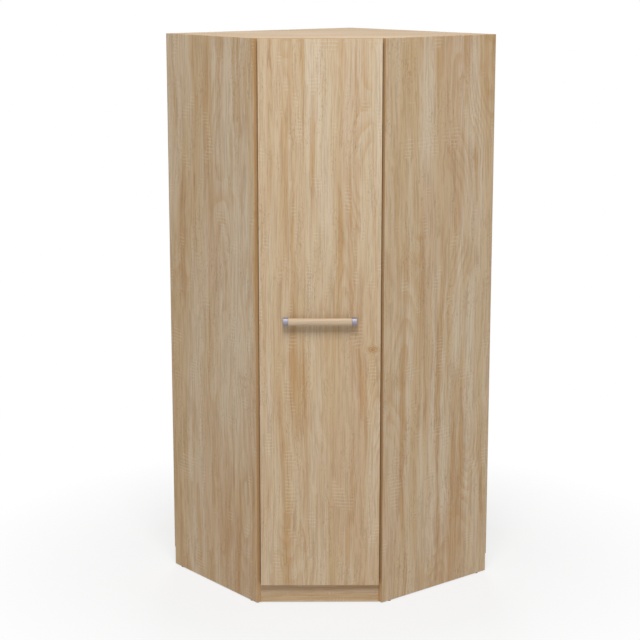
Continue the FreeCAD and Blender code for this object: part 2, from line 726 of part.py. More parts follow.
def hinge_carcass_side():
    """Arms and mounting plates on the left side panel, with their screws and bores."""
    heights = hinge_heights()
    y = "sizes.side_depth - sizes.plate_setback"
    plate_spots = [("plan.left_inner - sizes.wing_thickness", y, f"{z} {sign} sizes.plate_screw_spacing / 2")
                   for z in heights for sign in "-+"]
    arm_face = "plan.left_inner - plan.plate_height - sizes.arm_bar"
    arm_spots = [(arm_face, f"{y} - sizes.saddle_length / 4", z) for z in heights]
    node(copies("hinge_plate_screws", screw("plate_screw"), CORNER, plate_spots))
    node(copies("hinge_arm_screws", screw("arm_screw"), CORNER, arm_spots))
    plate_bores = copies("plate_screw_bores", screw_bore("plate_screw"), CORNER, plate_spots)
    arm_bores = copies("arm_screw_bores", screw_bore("arm_screw"), CORNER, arm_spots)
    plates = copies("hinge_plates_blank", hinge_plate(), CORNER, [("0", "0", z) for z in heights])
    node(cut("hinge_plates", plates, [plate_bores, arm_bores]))
    pin_spots = [("plan.hinge_x", "plan.hinge_y", z) for z in heights]
    node(cut("hinge_arms", copies("hinge_arms_blank", hinge_arm(), FRONT, pin_spots), [arm_bores]))
    return plate_bores


def hinge_cup():
    """A cup with flange and ears, lying along x with the door's back face at zero."""
    bottom = "0 - sizes.cup_depth"
    lip = "sizes.flange_thickness"
    profile = [(bottom, "0"), (bottom, "sizes.cup_radius"), ("0", "sizes.cup_radius"),
               ("0", "sizes.flange_radius"), (lip, "sizes.flange_radius"), (lip, "0")]
    ear_reach = "(sizes.ear_spacing + sizes.ear_width)"
    ears = box("cup_ears", ("0", "0 - sizes.ear_offset - sizes.ear_width / 2", f"0 - {ear_reach} / 2"),
               (lip, "sizes.ear_width", ear_reach))
    bowl_start = (f"{bottom} + sizes.cup_floor", "0", "0")
    bowl = rod("cup_bowl", "sizes.cup_radius - sizes.cup_wall",
               "sizes.cup_depth + sizes.flange_thickness + sizes.overrun", bowl_start, "x")
    pin_start = ("0 - sizes.pin_depth", "sizes.cup_edge_distance - sizes.pin_edge_distance",
                 "0 - sizes.pin_length / 2")
    hole_radius = "sizes.pin_radius + sizes.running_clearance"
    pin_hole = rod("cup_pin_hole", hole_radius, "sizes.pin_length", pin_start)
    return cut("hinge_cup", fuse("cup_blank", [turned("cup_turned", profile), ears]), [bowl, pin_hole])


def hinge_door_side():
    """Cups and pins in the door, with the cups' screws and the door's bores."""
    heights = hinge_heights()
    cup_x = "plan.door_left + sizes.cup_edge_distance"
    spots = [(cup_x, "plan.door_back", z, "90") for z in heights]
    ear_x = f"{cup_x} + sizes.ear_offset"
    seat = "plan.door_back + sizes.flange_thickness"
    screws = [(ear_x, seat, f"{z} {sign} sizes.ear_spacing / 2", "0 - 90") for z in heights for sign in "-+"]
    node(copies("hinge_cup_screws", doc.small_screw_lying, FRONT, screws))
    bores = copies("cup_screw_bores", doc.small_screw_lying_bore, FRONT, screws)
    node(cut("hinge_cups", copies("hinge_cups_blank", hinge_cup(), FRONT, spots), [bores]))
    pin = rod("hinge_pin", "sizes.pin_radius", "sizes.pin_length", ("0", "0", "0"))
    node(copies("hinge_pins", pin, FRONT,
                [("plan.hinge_x", "plan.hinge_y", f"{z} - sizes.pin_length / 2") for z in heights]))
    well = rod("cup_well", "sizes.cup_radius + sizes.cup_fit", "sizes.cup_depth + sizes.overrun",
               ("0 - sizes.cup_depth", "0", "0"), "x")
    return [bores, copies("cup_wells", well, FRONT, spots)]


def door_blank():
    """The door panel with softly rounded front edges."""
    points = rectangle("plan.door_left", "plan.door_front", "plan.door_right", "plan.door_back")
    body = prism("door_blank", points, "plan.door_top - plan.door_bottom")
    stand(body, FRONT, z="plan.door_bottom")
    doc.recompute()
    pad = body.Tip
    front = pad.Shape.BoundBox.YMin
    edges = [f"Edge{number}" for number, edge in enumerate(pad.Shape.Edges, start=1)
             if edge.BoundBox.YMax < front + SAME_PLACE]
    rounding = body.newObject("PartDesign::Fillet", "door_rounding")
    rounding.Base = (pad, edges)
    bind(rounding, Radius="sizes.door_edge_radius")
    return body


def handle_bow(name, width, depth):
    """A stretch of the handle's bowed section along x, from its front at y zero."""
    low = "0 - sizes.handle_height / 2"
    block = box(name + "_block", ("0", "0", low), (width, depth, "sizes.handle_height"))
    bow = rod(name + "_bow", "plan.bow_radius", width, ("0", "plan.bow_radius", "0"), "x")
    return common(name, [block, bow])


def handle():
    """The handle's bar and posts, their screws from inside, and the screws' bores."""
    left = "plan.handle_x - sizes.handle_length / 2"
    right = "plan.handle_x + sizes.handle_length / 2 - sizes.handle_post_width"
    wide = "sizes.handle_post_width"
    depth = "sizes.handle_bar_depth"
    bar = handle_bow("handle_bar", f"sizes.handle_length - 2 * {wide}", depth)
    node(stand(bar, FRONT, f"{left} + {wide}", "plan.handle_y", "plan.handle_z"))
    leg = box("post_leg", ("0", depth, "0 - sizes.handle_height / 2"),
              (wide, f"sizes.handle_projection - {depth}", "sizes.handle_height"))
    post = fuse("handle_post", [handle_bow("post_nose", wide, depth), leg])
    posts = copies("handle_posts_blank", post, FRONT,
                   [(x, "plan.handle_y", "plan.handle_z") for x in (left, right)])
    spots = [(f"{x} + {wide} / 2", "plan.door_back", "plan.handle_z", "0 - 90") for x in (left, right)]
    length = "plan.handle_screw_length"
    node(copies("handle_screws", screw("handle_screw", length=length), FRONT, spots))
    bores = copies("handle_screw_bores", screw_bore("handle_screw", length=length), FRONT, spots)
    node(cut("handle_posts", posts, [bores]))
    return bores


def door_buffers():
    """Soft buffers on the door's back, in front of the top and bottom panels' edges."""
    x = "plan.door_right - sizes.buffer_inset"
    pad = rod("door_buffer", "sizes.buffer_radius", "sizes.door_gap - sizes.buffer_gap", ("0", "0", "0"), "y")
    heights = ("plan.top_underside + sizes.board / 2", "sizes.plinth_height + sizes.board / 2")
    node(copies("door_buffers", pad, FRONT, [(x, "plan.door_back", z) for z in heights]))


def build():
    """Make every piece, with each board drilled for what is fastened to it."""
    fill_sheet()
    derive_plan()
    for upright in (True, False):
        screw("small_screw", upright)
        screw_bore("small_screw", upright)
    boards = carcass_boards()
    connectors = board_connectors()
    nails = back_nails()
    glides = floor_glides()
    blocks = plinth_blocks()
    angles, wall_holes = wall_angles()
    hanging_rail()
    brackets = rail_brackets()
    plates = hinge_carcass_side()
    bores = {
        "left_side_panel": connectors + [nails, glides, plates],
        "right_side_panel": connectors + [nails, glides],
        "top_panel": connectors + [nails, angles],
        "bottom_panel": connectors + [nails] + blocks,
        "hat_shelf": connectors + [nails, brackets],
        "plinth_board": blocks,
        "rear_corner_post": [nails, glides],
        "left_back_panel": [nails, wall_holes],
        "right_back_panel": [nails, wall_holes],
    }
    for name, tools in bores.items():
        node(cut(name, boards[name], tools))
    cups = hinge_door_side()
    grips = handle()
    node(cut("door_panel", door_blank(), cups + [grips]))
    door_buffers()
    doc.recompute()


def check():
    """Stop if any object failed or any finished piece has no sound shape."""
    for thing in doc.Objects:
        if "Invalid" in thing.State or "Error" in thing.State:
            raise RuntimeError(f"{thing.Name} failed: {thing.State}")
    for piece in nodes:
        if piece.Shape.isNull() or not piece.Shape.isValid() or not piece.Shape.Solids:
            raise RuntimeError(f"{piece.Label} has no sound shape")


def write_parts():
    """Write one file for each finished piece."""
    os.makedirs("parts", exist_ok=True)
    for piece in nodes:
        piece.Shape.exportStep(f"parts/{piece.Label}.step")


build()
check()
write_parts()
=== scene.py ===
"""Corner wardrobe: oak-pattern finishes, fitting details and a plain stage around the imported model.

Lengths are metres in the model's own frame: +Z is up and the door faces -Y.
"""

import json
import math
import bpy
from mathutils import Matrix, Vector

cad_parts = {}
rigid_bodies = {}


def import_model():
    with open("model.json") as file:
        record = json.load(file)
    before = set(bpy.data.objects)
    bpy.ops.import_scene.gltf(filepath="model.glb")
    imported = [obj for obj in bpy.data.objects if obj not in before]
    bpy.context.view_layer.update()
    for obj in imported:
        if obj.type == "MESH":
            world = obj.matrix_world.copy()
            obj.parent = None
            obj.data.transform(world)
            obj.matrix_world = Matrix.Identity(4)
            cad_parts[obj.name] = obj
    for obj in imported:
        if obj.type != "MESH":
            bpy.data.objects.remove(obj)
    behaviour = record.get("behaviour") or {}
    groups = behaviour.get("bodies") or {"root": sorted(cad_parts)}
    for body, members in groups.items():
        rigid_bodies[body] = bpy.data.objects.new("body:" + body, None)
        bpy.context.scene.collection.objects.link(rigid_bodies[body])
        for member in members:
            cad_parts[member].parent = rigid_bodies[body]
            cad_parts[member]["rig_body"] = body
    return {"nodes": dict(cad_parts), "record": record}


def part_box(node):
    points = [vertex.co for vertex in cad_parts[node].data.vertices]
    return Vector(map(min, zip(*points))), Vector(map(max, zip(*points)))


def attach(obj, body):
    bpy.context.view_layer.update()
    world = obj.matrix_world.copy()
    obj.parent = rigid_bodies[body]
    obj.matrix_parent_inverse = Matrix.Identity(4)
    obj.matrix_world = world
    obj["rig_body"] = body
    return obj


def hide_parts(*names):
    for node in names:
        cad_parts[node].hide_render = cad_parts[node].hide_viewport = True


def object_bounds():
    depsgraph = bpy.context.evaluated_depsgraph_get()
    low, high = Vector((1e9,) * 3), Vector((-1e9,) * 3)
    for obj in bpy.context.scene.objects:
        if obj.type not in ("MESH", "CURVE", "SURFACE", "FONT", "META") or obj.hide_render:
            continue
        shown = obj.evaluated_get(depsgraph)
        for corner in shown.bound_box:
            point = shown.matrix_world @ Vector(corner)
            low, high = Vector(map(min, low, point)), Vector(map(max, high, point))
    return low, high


bl_info = {
    "name": "Corner Wardrobe",
    "version": (1, 0, 0),
    "blender": (4, 5, 0),
    "location": "3D View > Sidebar > Wardrobe",
    "description": "Dresses a corner wardrobe in oak-pattern board and metal fittings",
    "category": "Object",
}

import bmesh
import bpy
from bpy.props import FloatProperty, FloatVectorProperty, PointerProperty
from mathutils import Matrix, Vector

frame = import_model()
CAD_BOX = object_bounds()
MOUNTS = {mount["name"]: mount for mount in frame["record"]["mounts"]}
UP = Vector((0, 0, 1))
WHITE = (1, 1, 1, 1)

# The curve that turns screen values into light.
SCREEN_STEPS = 255
SCREEN_LIFT = 0.055
SCREEN_POWER = 2.4

# Mesh work: what counts as one point, one level, one plane, a sharp edge and an edge worth rounding.
SAME_SPOT = 0.00001
SAME_LEVEL = 0.0001
FLAT_TURN = 0.01
SHARP_TURN = math.radians(25)
CREASE = math.radians(40)
LEAST_EDGE = 0.008
ROUNDING = {"segments": 3, "profile": 0.5, "affect": "EDGES"}
BOW_STEPS = 24
SORT_DIGITS = 4
AXIS_START = (1, 0.7, 0.4)
AXIS_ROUNDS = 40

# A screw's proportions. The dome and the cross are shares of the head, the thread's root and the tip
# of the shank's radius, and the thread's valley and crest of the pitch.
SCREW_SIDES = 20
HEAD_DOME = [(0.62, -1.0), (0.82, -0.92), (0.95, -0.72), (1.0, -0.45), (1.0, 0.0)]
CROSS_ARMS = 4
CROSS_ARM = 0.42
CROSS_HALF = 0.12
CROSS_TAPER = 0.6
CROSS_FLOOR = 0.3
THREAD_ROOT = 0.74
THREAD_VALLEY = 0.15
THREAD_CREST = 0.6
TIP_LENGTH = 2
TIP_RADIUS = 0.12

# The oak pattern's layers. A step says where a mask starts and is whole, in the noise's own values.
# A scale says how much wider and longer a layer is than the width and run that it borrows.
NOISE_ROUGHNESS = 0.55
NOISE_MIDDLE = (0.5, 0.5, 0.5)
BAND_DETAIL = 2.0
STREAK_DETAIL = 1.5
FIBRE_DETAIL = 5.0
KNOT_DETAIL = 3.0
SLOW_SWAY = (1.6, 0.6)
QUICK_SWAY = (0.5, 0.12)
QUICK_REACH = 0.25
BAND_STEP = (0.37, 0.63)
BLUSH_SCALE = (2.2, 0.5)
BLUSH_STEP = (0.50, 0.62)
RING_RISE = (0.2, 0.9)
RING_FALL = (0.9, 1.0)
RING_PATCH_SCALE = (1.6, 0.3)
RING_PATCH_STEP = (0.47, 0.62)
STREAK_STEP = (0.44, 0.80)
LINE_LEVEL = 0.63
LINE_FADE = (0.0, 0.02)
LINE_BREAK_SCALE = (1.0, 0.3)
LINE_BREAK_STEP = (0.5, 0.62)
PORE_STEP = (0.54, 0.70)
PORE_CLUSTER_SCALE = (0.8, 0.12)
PORE_CLUSTER_STEP = (0.46, 0.62)
FIBRE_STEP = (0.42, 0.65)
SAW_JITTER_SCALE = (1, 4)
SAW_LINE_STEP = (0.2, 1.0)
SAW_PATCH_STEP = (0.60, 0.68)
KNOT_RAG_SCALE = (2, 1)
KNOT_HEART_STEP = (0.7, 2.2)
KNOT_RINGS = 1.7
KNOT_RING_STEP = (-0.2, 0.9)
EDGE_STEP = (0.75, 0.95)

# Gloss is a specular level. A relief is a bump's strength and height.
OAK_GLOSS = 0.28
BAR_GLOSS = 0.4
OAK_RELIEF = (0.12, 0.0004)
FAINT_RELIEF = (0.08, 0.0003)
SAW_RELIEF = 0.5

# Bare fibreboard on the wall side of the back sheets.
SHEET_DULLNESS = 0.1
BARE_DEPTH = 0.0005
CLOUD_DETAIL = 3.0
CLOUD_STEP = (0.35, 0.65)
CLOUD_SHARE = 0.16
PULP_SPECKS = 0.22
PULP_STEP = (0.52, 0.72)
PULP_SHARE = 0.35

# Brushed metal, and the skin of plastic and beech.
BRUSH_SCALE = (6, 1 / 8, 1 / 8)
BRUSH_STEP = (0.3, 0.7)
BRUSH_SHADE = 0.07
METAL_RELIEF = (0.04, 0.0001)
SMOOTHEST = 0.85
ROUGHEST = 1.2
SKIN_SIZE = 0.0012
SKIN_RELIEF = (0.15, 0.0001)
SKIN_DETAIL = 2.0
SPECK_SIZE = 0.003
SPECK_STEP = (0.4, 0.7)
SPECK_SHADE = 0.08

# Where each oak finish lies in the pattern, and how much paler it is at the top (a painted sheen of the
# light from above) and warmer at the floor.
SEEDS = {
    "left": (5.34, 2.34, 7.56),
    "right": (6.24, 0.96, 0.94),
    "flat": (2.4, 4.8, 1.9),
    "plinth": (3.3, 2.2, 7.5),
    "post": (8.1, 0.9, 2.7),
    "door": (0.398, 5.354, 10.74),
    "handle": (9.3, 4.4, 0.7),
    "left_back_panel": (4.1, 0.2, 5.5),
    "right_back_panel": (6.6, 3.0, 1.2),
}
PAINTED_SHEEN_AND_WARMTH = {"left": (0.0, 0.16), "right": (0.0, 0.04), "door": (0.4, 0.15)}
GRAIN_ORDERS = {"upright": None, "flat": ("Y", "Z", "X"), "lying": ("Z", "Y", "X")}

# The shader's sockets by plain names, and the mixing node's sockets for colours by number.
SOCKETS = {"roughness": "Roughness", "specular": "Specular IOR Level"}
MIX_AMOUNT, MIX_FIRST, MIX_SECOND, MIX_RESULT = 0, 6, 7, 2

BOARD_FACES = ("left_side_face", "right_side_face", "left_wall_face")
SCREW_NODES = ("hinge_plate_screws", "hinge_arm_screws", "hinge_cup_screws", "handle_screws",
               "rail_bracket_screws", "plinth_block_screws", "wall_angle_screws")


def screen(red, green, blue):
    """A colour in screen values from 0 to 255, as the linear values that shaders use."""
    shares = [value / SCREEN_STEPS for value in (red, green, blue)]
    return tuple(((value + SCREEN_LIFT) / (1 + SCREEN_LIFT)) ** SCREEN_POWER for value in shares)


def number(name, description, default, **more):
    """A number that a user may change."""
    return FloatProperty(name=name, description=description, default=default, **more)


def length(name, description, default):
    """A length that a user may change."""
    return number(name, description, default, unit="LENGTH", min=0)


def angle(name, description, degrees):
    """An angle that a user may change."""
    return number(name, description, math.radians(degrees), unit="ROTATION")


def share(name, description, default):
    """A share from nothing to all that a user may change."""
    return number(name, description, default, subtype="FACTOR", min=0, max=1)


def colour(name, description, default):
    """A colour that a user may change."""
    return FloatVectorProperty(name=name, description=description, default=default,
                               subtype="COLOR", min=0, max=1)


def spot(name, description, default):
    """A place in the model's frame that a user may change."""
    return FloatVectorProperty(name=name, description=description, default=default,
                               subtype="TRANSLATION", unit="LENGTH")


class OakSettings(bpy.types.PropertyGroup):
    """Tones and grain sizes of the oak-pattern boards."""
    # Pale also gives the painted sheen at the top of the door and over the handle's bar.
    pale: colour("Pale", "Lightest bands of the pattern", screen(207, 189, 163))
    sand: colour("Sand", "Main tone of the pattern", screen(196, 170, 134))
    # Honey also gives the painted warm shade on the boards' narrow edges in the gaps.
    honey: colour("Honey", "Warm streaks", screen(180, 140, 90))
    umber: colour("Umber", "Thin dark lines, pores and knots", screen(126, 88, 50))
    chalk: colour("Chalk", "Pale saw marks", screen(214, 198, 173))
    rose: colour("Rose", "Faintly pink bands", screen(196, 170, 140))
    band_width: length("Band width", "Width of the broad light and dark bands", 0.055)
    band_run: length("Band run", "Length of the broad bands along the grain", 1.9)
    blush_share: share("Blush", "How strongly the pink bands show", 0.7)
    streak_width: length("Streak width", "Width of the warm streaks", 0.024)
    streak_run: length("Streak run", "Length of the warm streaks", 0.75)
    streak_share: share("Streaks", "How strongly the warm streaks show", 0.76)
    line_share: share("Lines", "How strongly the dark lines beside the streaks show", 0.3)
    fibre_width: length("Fibre width", "Width of the fine fibres", 0.0034)
    fibre_run: length("Fibre run", "Length of the fine fibres", 0.26)
    fibre_share: share("Fibres", "How strongly the fine fibres show", 0.28)
    pore_width: length("Pore width", "Width of the dark pores", 0.0028)
    pore_run: length("Pore run", "Length of the dark pores", 0.012)
    pore_share: share("Pores", "How strongly the dark pores show", 0.28)
    flame_width: length("Flame width", "Width of the arched growth figures", 0.13)
    flame_run: length("Flame run", "Length of the arched growth figures", 0.8)
    flame_rings: number("Flame rings", "How many rings a growth figure has", 22)
    flame_share: share("Flames", "How strongly the growth figures show", 0.35)
    saw_spacing: length("Saw mark spacing", "Distance between the cross marks", 0.0125)
    saw_patch_width: length("Saw patch width", "Width of a patch of cross marks", 0.045)
    saw_patch_run: length("Saw patch run", "Length of a patch of cross marks", 0.12)
    saw_share: share("Saw marks", "How strongly the cross marks show", 0.32)
    side_stretch: number("Side stretch", "How much broader the sides' grain is", 1.6)
    sway: length("Sway", "How far the grain wanders sideways", 0.03)
    fibreboard: colour("Fibreboard", "Bare back of the thin back sheets", screen(158, 124, 88))
    roughness: share("Roughness", "Roughness of the foil", 0.56)
    # The edges' warmth is partly their own tone and partly painted warm shade in the gaps between the door
    # and the sides.
    edge_warmth_and_gap_shade: share("Edge warmth", "How much warmer the boards' narrow edges are than their faces", 0.6)
    softening: length("Edge softening", "Rounding of the boards' edges", 0.0008)
    knot_place: spot("Knot", "Middle of the knot on the door", (0.147, 0.0, 0.935))
    knot_width: length("Knot width", "Half of the knot's width", 0.018)
    knot_height: length("Knot height", "Half of the knot's height", 0.011)
    knot_share: share("Knot strength", "How strongly the knot shows", 0.6)
    # The bar's paleness is a painted sheen over the whole bar, beside its real gloss.
    bar_sheen: share("Bar paleness", "How much paler the handle's bar is", 0.3)


class FittingSettings(bpy.types.PropertyGroup):
    """Finishes of the metal and plastic fittings, and the handle's and screws' details."""
    silver: colour("Silver", "Satin handle posts", screen(158, 154, 165))
    silver_roughness: share("Silver roughness", "Roughness of the handle posts", 0.62)
    chrome: colour("Chrome", "Hanging rail", screen(226, 226, 228))
    chrome_roughness: share("Chrome roughness", "Roughness of the hanging rail", 0.12)
    nickel: colour("Nickel", "Hinges and wall angles", screen(190, 188, 184))
    nickel_roughness: share("Nickel roughness", "Roughness of hinges and wall angles", 0.28)
    zinc: colour("Zinc", "Screws, nails and connectors", screen(186, 184, 178))
    zinc_roughness: share("Zinc roughness", "Roughness of screws, nails and connectors", 0.34)
    plastic: colour("Plastic", "Brackets, caps, glides and blocks", screen(92, 80, 68))
    plastic_roughness: share("Plastic roughness", "Roughness of brackets, caps, glides and blocks", 0.5)
    beech: colour("Beech", "Dowels", screen(206, 170, 124))
    beech_roughness: share("Beech roughness", "Roughness of the dowels", 0.7)
    buffer: colour("Buffer", "Soft door buffers", screen(222, 220, 212))
    buffer_roughness: share("Buffer roughness", "Roughness of the door buffers", 0.35)
    brushing: length("Brushing", "Size of the brush marks on metal", 0.004)
    rail_brushing: length("Rail brushing", "Size of the brush marks on the hanging rail", 0.02)
    handle_bow: length("Handle bow", "How far the middle of the handle's face stands out", 0.005)
    bar_softening: length("Bar softening", "Rounding of the handle bar's edges", 0.0008)
    post_softening: length("Post softening", "Rounding of the handle posts' edges", 0.0015)
    thread_pitch: length("Thread pitch", "Distance between the turns of the screw threads", 0.0014)


class StageSettings(bpy.types.PropertyGroup):
    """Camera, lights and floor."""
    camera_place: spot("Camera", "Where the camera stands", (-0.0642, -6.0664, 2.2473))
    camera_pitch: angle("Pitch", "How far the camera looks down", 10.83)
    camera_turn: angle("Turn", "How far the camera looks to the right", 0.27)
    camera_lens: number("Lens", "Focal length", 93.2, unit="CAMERA")
    camera_shift: number("Shift", "Downward shift of the frame", -0.06)
    key_place: spot("Key light", "Where the key light hangs", (0.0, -4.3, 6.9))
    key_power: number("Key power", "Power of the key light", 412, unit="POWER")
    key_size: length("Key size", "Side of the square key light", 2.7)
    key_lift: length("Key aim", "How far above the object's middle the key light aims", 0.3)
    back_place: spot("Back light", "Where the back light hangs", (0.0, 5.0, 1.2))
    back_power: number("Back power", "Power of the back light", 110, unit="POWER")
    back_size: length("Back size", "Side of the square back light", 1.6)
    sky: number("Sky", "Strength of the even light from all sides", 0.365)
    floor_size: length("Floor", "Side of the square floor", 80.0)
    floor: colour("Floor colour", "Plain pale floor", screen(222, 222, 222))
    floor_roughness: share("Floor roughness", "Roughness of the floor", 0.9)
    floor_glow: share("Floor glow", "How much of the floor beside the object shows as plain white", 0.7)
    shadow_reach: length("Shadow reach", "How far from the middle the floor keeps a shadow", 1.5)
    shadow_core: share("Shadow core", "Part of the reach in which the shadow doesn't fade", 0.5)


def opaque(value):
    """A colour as a socket takes it: another node's output as it is, or three values made four."""
    return value if isinstance(value, bpy.types.NodeSocket) else (*value, 1.0)


class Finish:
    """A material in the making: a Principled shader and the nodes that feed it."""

    def __init__(self, name, roughness, metallic=0.0):
        self.material = bpy.data.materials.new(name)
        self.material.use_nodes = True
        self.tree = self.material.node_tree
        self.shader = self.tree.nodes["Principled BSDF"]
        self.shader.inputs["Metallic"].default_value = metallic
        self.shader.inputs["Roughness"].default_value = roughness

    def feed(self, socket, value):
        """Link another node's output to a socket, or set the socket's own value."""
        if isinstance(value, bpy.types.NodeSocket):
            self.tree.links.new(value, socket)
        else:
            socket.default_value = value

    def add(self, kind, inputs, **settings):
        """A new node with its settings made and its inputs fed."""
        node = self.tree.nodes.new("ShaderNode" + kind)
        for name, value in settings.items():
            setattr(node, name, value)
        for name, value in inputs.items():
            self.feed(node.inputs[name], value)
        return node

    def sum(self, operation, *values):
        """One step of arithmetic."""
        return self.add("Math", dict(enumerate(values)), operation=operation).outputs[0]

    def times(self, first, second):
        """One value times another."""
        return self.sum("MULTIPLY", first, second)

    def rest(self, value):
        """What is left of one."""
        return self.sum("SUBTRACT", 1.0, value)

    def vector(self, operation, *values):
        """One step of arithmetic on vectors."""
        return self.add("VectorMath", dict(enumerate(values)), operation=operation).outputs[0]

    def vector_length(self, vector):
        """How long a vector is."""
        return self.add("VectorMath", {0: vector}, operation="LENGTH").outputs["Value"]

    def dot(self, vector, axis):
        """How far a vector reaches along an axis."""
        return self.add("VectorMath", {0: vector, 1: axis}, operation="DOT_PRODUCT").outputs["Value"]

    def place(self):
        """The point's place in the model's frame."""
        return self.add("TexCoord", {}).outputs["Object"]

    def height(self, place):
        """A place's third coordinate."""
        return self.add("SeparateXYZ", {"Vector": place}).outputs["Z"]

    def noise(self, place, size, detail=2.0, output="Fac"):
        """Smooth noise whose features have the given size along x, y and z."""
        scaled = self.vector("MULTIPLY", place, tuple(1 / extent for extent in size))
        inputs = {"Vector": scaled, "Scale": 1.0, "Detail": detail, "Roughness": NOISE_ROUGHNESS}
        return self.add("TexNoise", inputs).outputs[output]

    def ease(self, value, low, high):
        """A soft step from 0 at low to 1 at high."""
        inputs = {"Value": value, "From Min": low, "From Max": high}
        return self.add("MapRange", inputs, interpolation_type="SMOOTHSTEP").outputs["Result"]

    def blend(self, amount, first, second):
        """Two colours mixed."""
        inputs = {MIX_AMOUNT: amount, MIX_FIRST: opaque(first), MIX_SECOND: opaque(second)}
        return self.add("Mix", inputs, data_type="RGBA").outputs[MIX_RESULT]

    def tint(self, tone, over, mask, part):
        """A colour with a part of another laid over it where a mask says."""
        return self.blend(self.times(mask, part), tone, over)

    def bump(self, height, strength, distance):
        """Raise the surface by a height value."""
        node = self.add("Bump", {"Height": height, "Strength": strength, "Distance": distance})
        self.feed(self.shader.inputs["Normal"], node.outputs["Normal"])

    def done(self, base, **sockets):
        """Feed the base colour and any other of the shader's sockets."""
        self.feed(self.shader.inputs["Base Color"], opaque(base))
        for name, value in sockets.items():
            self.feed(self.shader.inputs[SOCKETS[name]], value)
        return self.material


def across(axis):
    """How far to turn the frame so that x runs along a board whose face looks along the axis."""
    return -math.atan2(axis[0], -axis[1])


def grain_space(finish, turn, grain, seed, stretch=1.0):
    """Places turned so that x runs across the grain, y through the board and z along the grain."""
    turned = finish.add("VectorRotate", {"Vector": finish.place(), "Angle": turn}, rotation_type="Z_AXIS")
    order = GRAIN_ORDERS[grain]
    space = turned.outputs["Vector"]
    if order:
        split = finish.add("SeparateXYZ", {"Vector": space})
        parts = dict(zip("XYZ", (split.outputs[axis] for axis in order)))
        space = finish.add("CombineXYZ", parts).outputs["Vector"]
    return finish.vector("MULTIPLY_ADD", space, (1 / stretch, 1, 1), seed)


def grain_size(width, run, scale):
    """The size of a feature that is drawn out along the grain."""
    return width * scale[0], width * scale[0], run * scale[1]


def swayed(finish, space, oak):
    """The grain's places, wandering sideways along the board, with ragged edges."""
    slow = grain_size(oak.flame_width, oak.flame_run, SLOW_SWAY)
    quick = grain_size(oak.streak_width, oak.streak_run, QUICK_SWAY)
    for size, reach in ((slow, oak.sway), (quick, oak.sway * QUICK_REACH)):
        drift = finish.vector("SUBTRACT", finish.noise(space, size, output="Color"), NOISE_MIDDLE)
        space = finish.vector("MULTIPLY_ADD", drift, (reach, reach, 0.0), space)
    return space


def strands(finish, grain, width, run, detail=1.0, scale=(1, 1)):
    """Smooth noise drawn out along the grain."""
    return finish.noise(grain, grain_size(width, run, scale), detail)


def broad_tone(finish, grain, oak):
    """Broad soft bands of sand, pale and rose."""
    bands = strands(finish, grain, oak.band_width, oak.band_run, detail=BAND_DETAIL)
    blush = strands(finish, grain, oak.band_width, oak.band_run, scale=BLUSH_SCALE)
    tone = finish.blend(finish.ease(bands, *BAND_STEP), oak.sand, oak.pale)
    return finish.tint(tone, oak.rose, finish.ease(blush, *BLUSH_STEP), oak.blush_share)


def growth_rings(finish, grain, oak):
    """Arched growth figures: each ring darkens slowly and ends at once."""
    hills = strands(finish, grain, oak.flame_width, oak.flame_run)
    ring = finish.sum("FRACT", finish.times(hills, oak.flame_rings))
    late = finish.sum("SUBTRACT", finish.ease(ring, *RING_RISE), finish.ease(ring, *RING_FALL))
    patch = strands(finish, grain, oak.band_width, oak.band_run, scale=RING_PATCH_SCALE)
    return finish.times(late, finish.ease(patch, *RING_PATCH_STEP))


def warm_streaks(finish, grain, oak):
    """Soft warm streaks, and the thin dark lines along some of their edges."""
    streaks = strands(finish, grain, oak.streak_width, oak.streak_run, detail=STREAK_DETAIL)
    edge = finish.sum("ABSOLUTE", finish.sum("SUBTRACT", streaks, LINE_LEVEL))
    line = finish.rest(finish.ease(edge, *LINE_FADE))
    gaps = strands(finish, grain, oak.streak_width, oak.streak_run, scale=LINE_BREAK_SCALE)
    broken = finish.times(line, finish.ease(gaps, *LINE_BREAK_STEP))
    return finish.ease(streaks, *STREAK_STEP), broken


def pores(finish, grain, oak):
    """Short dark flecks that lie in clusters."""
    flecks = strands(finish, grain, oak.pore_width, oak.pore_run)
    cluster = strands(finish, grain, oak.band_width, oak.band_run, scale=PORE_CLUSTER_SCALE)
    return finish.times(finish.ease(flecks, *PORE_STEP), finish.ease(cluster, *PORE_CLUSTER_STEP))


def saw_marks(finish, space, oak):
    """Patches of pale marks across the grain, as a saw leaves them."""
    jitter = strands(finish, space, oak.saw_patch_width, oak.saw_spacing, scale=SAW_JITTER_SCALE)
    rows = finish.sum("ADD", finish.sum("DIVIDE", finish.height(space), oak.saw_spacing), jitter)
    lines = finish.ease(finish.sum("SINE", finish.times(rows, math.tau)), *SAW_LINE_STEP)
    patch = strands(finish, space, oak.saw_patch_width, oak.saw_patch_run)
    return finish.times(lines, finish.ease(patch, *SAW_PATCH_STEP))


def parted(finish, space, knot, oak):
    """The grain's places, parted round a knot, and how far each point is from the knot in its own radii."""
    away = finish.vector("SUBTRACT", finish.place(), knot)
    radii = finish.vector("MULTIPLY", away, (1 / oak.knot_width, 0, 1 / oak.knot_height))
    reach = finish.vector_length(radii)
    pull = finish.sum("MINIMUM", finish.sum("DIVIDE", 1.0, finish.times(reach, reach)), 1.0)
    pulled = finish.add("VectorMath", {0: away, "Scale": pull}, operation="SCALE").outputs[0]
    return finish.vector("MULTIPLY_ADD", pulled, (-1, 0, 0), space), reach


